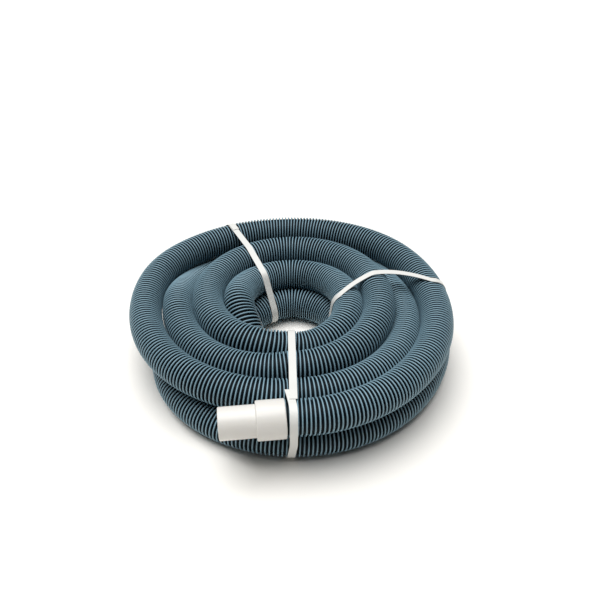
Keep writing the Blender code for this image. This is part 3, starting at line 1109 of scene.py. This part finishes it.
@dataclass
class StrapTie:
    """One strap: a flat band pulled tight round the turns, its two ends laid over each other.

    Attributes:
        name: Name of the solid that it stands for.
        azimuth: Where its middle lies round the coil, in degrees.
        turn: Turn of its plane away from the coil's radius, in degrees.
        bow: Sideways bulge of its middle.
        share: Share of its length from its start to its innermost point.
        start_on_top: True where its start lies over its end.
        skew: Sideways slip of its last end.
        foot: Sideways slip of its foot.
    """

    name: str
    azimuth: float
    turn: float
    bow: float
    share: float
    start_on_top: bool = False
    skew: float = 0.0
    foot: float = 0.0
    smooth_below: float = 40.0
    hose_sides: int = 48
    hose_samples: int = 6

    def build(
        self, points: np.ndarray, fixed: CuffAxis, offset: np.ndarray, look: bpy.types.Material
    ) -> None:
        """Builds the band.

        Args:
            points: The hose's centreline about the coil's own centre.
            fixed: The fixed cuff's axis, about the same centre.
            offset: Where the coil's centre is in the frame.
            look: The strap's material.
        """
        plane = self._plane()
        outline = self._outline(points, fixed, plane)
        rows = self._path(outline)
        anchor, out, across = plane
        sections = []
        for place, height, outward, upward, slip in rows:
            for side, level in ((-0.5, 0.0), (-0.5, 1.0), (0.5, 1.0), (0.5, 0.0)):
                shift = side * STRAP.width + slip + self._bowed(place)
                lift = level * STRAP.thickness
                flat = anchor + shift * across + (place + lift * outward) * out
                sections.append((*flat, height + lift * upward))
        places = np.array(sections) + offset
        grid = np.arange(len(places)).reshape(-1, 4)
        around = np.hstack((grid, grid[:, :1]))
        faces = np.stack((around[:-1, :-1], around[:-1, 1:], around[1:, 1:], around[1:, :-1]), axis=-1)
        ends = [grid[0][::-1].tolist(), grid[-1].tolist()]
        piece = mesh_piece(f"{self.name}_band", places, faces.reshape(-1, 4).tolist() + ends)
        turn_outwards(piece)
        deselect()
        piece.select_set(True)
        bpy.context.view_layer.objects.active = piece
        bpy.ops.object.shade_smooth_by_angle(angle=math.radians(self.smooth_below))
        finish_piece(piece, look)
        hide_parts(self.name)

    def _plane(self) -> tuple[np.ndarray, np.ndarray, np.ndarray]:
        """Places the strap's upright plane.

        Returns:
            A point on it, its outward direction and the direction across it.
        """
        angle = math.radians(self.azimuth)
        tilt = math.radians(self.azimuth + self.turn)
        anchor = STRAP.middle_radius * np.array((math.cos(angle), math.sin(angle)))
        out = np.array((math.cos(tilt), math.sin(tilt)))
        return anchor, out, np.array((-out[1], out[0]))

    def _bowed(self, places: np.ndarray) -> np.ndarray:
        """How far the band's middle line lies aside of its plane at some distances out."""
        return self.bow * np.maximum(0.0, 1.0 - (places / STRAP.reach) ** 2)

    def _outline(
        self, points: np.ndarray, fixed: CuffAxis, plane: tuple[np.ndarray, np.ndarray, np.ndarray]
    ) -> np.ndarray:
        """Pulls a line tight round all that the strap passes over.

        Args:
            points: The hose's centreline about the coil's own centre.
            fixed: The fixed cuff's axis, about the same centre.
            plane: The strap's plane.

        Returns:
            Distances outwards and heights along the line, in the strap's plane.
        """
        anchor, out, across = plane
        route = np.vstack((points, fixed.point(CUFF.collar_length)))
        fixed_collar = len(route) - 3  # the last two stretches lie in the fixed cuff's collar
        found = []
        for index, (start, stop) in enumerate(zip(route[:-1], route[1:])):
            size = HOSE.crest if index < fixed_collar else CUFF.collar_outer + STRAP.clearance
            ring = start + self._ring(stop - start, size / 2 + STRAP.standoff)
            for share in np.linspace(0.0, 1.0, self.hose_samples):
                spots = ring + share * (stop - start)
                away = (spots[:, :2] - anchor) @ out
                sides = (spots[:, :2] - anchor) @ across - self._bowed(away)
                near = (abs(sides) < STRAP.width / 2 + STRAP.clearance) & (abs(away) < STRAP.middle_radius)
                found.extend(zip(away[near].round(6), np.maximum(spots[near, 2], STRAP.thickness).round(6)))
        return self._hull(found)

    def _ring(self, run: np.ndarray, radius: float) -> np.ndarray:
        """Lays a ring of points round a bar.

        Args:
            run: The bar's direction.
            radius: The bar's radius.

        Returns:
            Offsets of the points from the bar's middle.
        """
        level = np.cross(run, (0.0, 0.0, 1.0))
        level /= np.linalg.norm(level)
        upward = np.cross(level, run)
        upward /= np.linalg.norm(upward)
        angles = 2 * math.pi * np.arange(self.hose_sides) / self.hose_sides
        return radius * (np.outer(np.cos(angles), level) + np.outer(np.sin(angles), upward))

    @staticmethod
    def _hull(places: Sequence[tuple[float, float]]) -> np.ndarray:
        """Outlines some points.

        Args:
            places: The points.

        Returns:
            The corners of their convex outline, counterclockwise.
        """
        ordered = sorted(set(places))
        halves = []
        for run in (ordered, ordered[::-1]):
            chain: list[tuple[float, float]] = []
            for place in run:
                while len(chain) > 1:
                    ahead = (chain[-1][0] - chain[-2][0]) * (place[1] - chain[-2][1])
                    if ahead - (chain[-1][1] - chain[-2][1]) * (place[0] - chain[-2][0]) > 0:
                        break
                    chain.pop()
                chain.append(place)
            halves.append(chain[:-1])
        return np.array(halves[0] + halves[1])

    def _path(self, outline: np.ndarray) -> np.ndarray:
        """Follows the taut line once round and on over its own start.

        Args:
            outline: The taut line round the turns, counterclockwise.

        Returns:
            Rows of place, height, outward direction and sideways slip.
        """
        closed = np.vstack((outline, outline[:1]))
        lengths = np.concatenate(((0.0,), np.cumsum(np.linalg.norm(np.diff(closed, axis=0), axis=1))))
        total = lengths[-1]
        inner_end = lengths[np.argmin(outline[:, 0])]
        start = (inner_end - self.share * total) % total
        count = math.ceil((total + STRAP.overlap) / STRAP.longest_edge)
        marks = start + np.linspace(0.0, total + STRAP.overlap, count + 1)
        place, height = (np.interp(marks % total, lengths, closed[:, axis]) for axis in (0, 1))
        ahead, behind = ((marks + side * STRAP.tangent_step) % total for side in (1, -1))
        run = [
            np.interp(ahead, lengths, closed[:, axis]) - np.interp(behind, lengths, closed[:, axis])
            for axis in (0, 1)
        ]
        size = np.hypot(*run)
        outward, upward = run[1] / size, -run[0] / size
        gone = marks - start
        over = STRAP.overlap - gone if self.start_on_top else gone - total
        lift = STRAP.thickness * STRAP.lap_lift * np.clip(over / STRAP.lap_ramp + 1.0, 0.0, 1.0)
        late = np.clip((gone - total - STRAP.overlap) / STRAP.skew_length + 1.0, 0.0, 1.0)
        low = np.clip(1.0 - height / STRAP.foot_height, 0.0, 1.0)
        slip = -self.skew * late**STRAP.skew_power - self.foot * low
        return np.column_stack((
            place + lift * outward,
            np.maximum(height + lift * upward, STRAP.thickness),
            outward,
            upward,
            slip,
        ))


# ---------------------------------------------------------------- studio


@dataclass
class Studio:
    """Floor, lights and camera.

    Attributes:
        centre: The coil's centre on the floor, which the camera looks at.
        elevation: The camera's height over the floor, in degrees.
        distance: The camera's distance from the centre.
        lens: Focal length in millimetres, on a sensor of the size below.
        sensor: Width of the sensor, in millimetres.
        shift: Shift of the lens, in sensor widths.
        surround: Strength of the light from all round.
        key_side: Direction that the key light comes from.
        key_spread: How wide the key light looks, in degrees.
        key_strength: Its strength, in watts per square metre.
        floor_size: Side of the floor.
        floor_drop: How far the floor lies under the straps.
    """

    centre: np.ndarray
    elevation: float = 41.83
    distance: float = 1.022
    lens: float = 39.03
    sensor: float = 36.0
    shift: tuple[float, float] = (0.0158, 0.0793)
    surround: float = 0.06
    key_side: tuple[float, float, float] = (-0.14, 0.17, 1.00)
    key_spread: float = 60.0
    key_strength: float = 4.0
    floor_size: float = 80.0
    floor_drop: float = 0.0002

    def set_camera(self) -> None:
        """Adds the camera, which looks at the coil's centre on the floor."""
        data = bpy.data.cameras.new("camera")
        data.lens = self.lens
        data.sensor_width = self.sensor
        data.shift_x, data.shift_y = self.shift
        data.clip_start = 0.01
        camera = bpy.data.objects.new("camera", data)
        bpy.context.scene.collection.objects.link(camera)
        angle = math.radians(self.elevation)
        back = Vector((0.0, -math.cos(angle), math.sin(angle)))
        camera.location = Vector(self.centre) + self.distance * back
        camera.rotation_euler = (-back).to_track_quat("-Z", "Y").to_euler()
        bpy.context.scene.camera = camera

    def light(self) -> None:
        """Adds the floor, the light from all round and the key light."""
        self._floor()
        world = bpy.data.worlds.new("surround")
        world.use_nodes = True
        backdrop = world.node_tree.nodes["Background"]
        backdrop.inputs["Color"].default_value = (1.0, 1.0, 1.0, 1.0)
        backdrop.inputs["Strength"].default_value = self.surround
        bpy.context.scene.world = world
        bpy.context.scene.view_settings.view_transform = "Standard"
        self._key()
        LOG.info("studio: floor, surround and key")

    def _floor(self) -> None:
        """Adds the floor."""
        deselect()
        bpy.ops.mesh.primitive_plane_add(size=self.floor_size, location=(0.0, 0.0, -self.floor_drop))
        floor = bpy.context.object
        floor.name = "floor"
        floor.data.materials.append(BACKGROUND.material())

    def _key(self) -> None:
        """Adds the key light, wide and even."""
        data = bpy.data.lights.new("key", "SUN")
        data.angle = math.radians(self.key_spread)
        data.energy = self.key_strength
        lamp = bpy.data.objects.new("key", data)
        bpy.context.scene.collection.objects.link(lamp)
        lamp.rotation_euler = (-Vector(self.key_side)).to_track_quat("-Z", "Y").to_euler()


# ---------------------------------------------------------------- main


def main() -> None:
    """Builds the whole look."""
    logging.basicConfig(level=logging.INFO, format="%(message)s")
    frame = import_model()
    winding = Winding()
    spin = np.array(frame["joints"][0]["pos_m"])
    offset = spin - winding.swivel.point(winding.setback + CUFF.flange_start)
    offset[2] = 0.0
    studio = Studio(offset)
    studio.set_camera()
    points = winding.points()
    SwivelCuff(winding.swivel.moved(offset), winding.setback).build(frame["nodes"])
    FixedCuff(winding.fixed.moved(offset)).build()
    Hose(Centreline(points + offset)).build()
    strap_look = STRAP_WHITE.material()
    for tie in (
        StrapTie("front_strap", 271.0, 0.0, 0.0, 0.34, start_on_top=True, skew=0.0060, foot=0.0045),
        StrapTie("left_strap", 117.0, 0.0, 0.0, 0.42, skew=0.0012),
        StrapTie("right_strap", 10.2, -2.3, 0.025, 0.75),
    ):
        tie.build(points, winding.fixed, offset, strap_look)
    studio.light()


if __name__ == "__main__":
    main()
